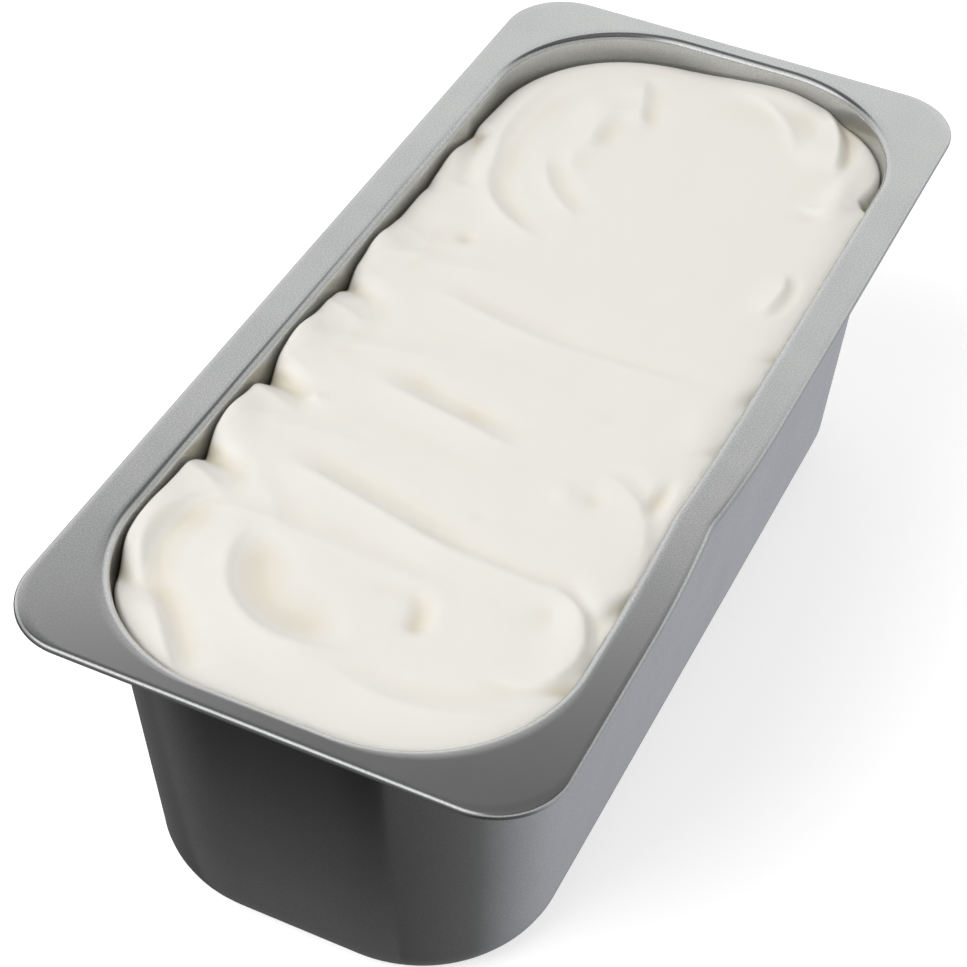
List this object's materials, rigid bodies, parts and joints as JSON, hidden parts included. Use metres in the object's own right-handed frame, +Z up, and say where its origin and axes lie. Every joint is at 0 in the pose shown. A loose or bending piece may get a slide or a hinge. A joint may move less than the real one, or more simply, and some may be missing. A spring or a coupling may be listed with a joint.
{
  "type": "ice cream pan",
  "caption": "Open stainless-steel ice cream pan with a flat flange, filled close to the rim with folded white ice cream.",
  "frame": {"origin": "middle of the pan's flat base, on the surface it stands on", "axes": "+Z up, +Y along the pan's length to the end with the smooth disc of ice cream, +X across the pan to the side with the knocked flange"},
  "size_m": [0.165, 0.36, 0.12],
  "materials": {
    "stainless_steel": "satin",
    "ice_cream": null
  },
  "bodies": {
    "root": {"pan": "stainless_steel", "ice_cream": "ice_cream"}
  },
  "joints": []
}
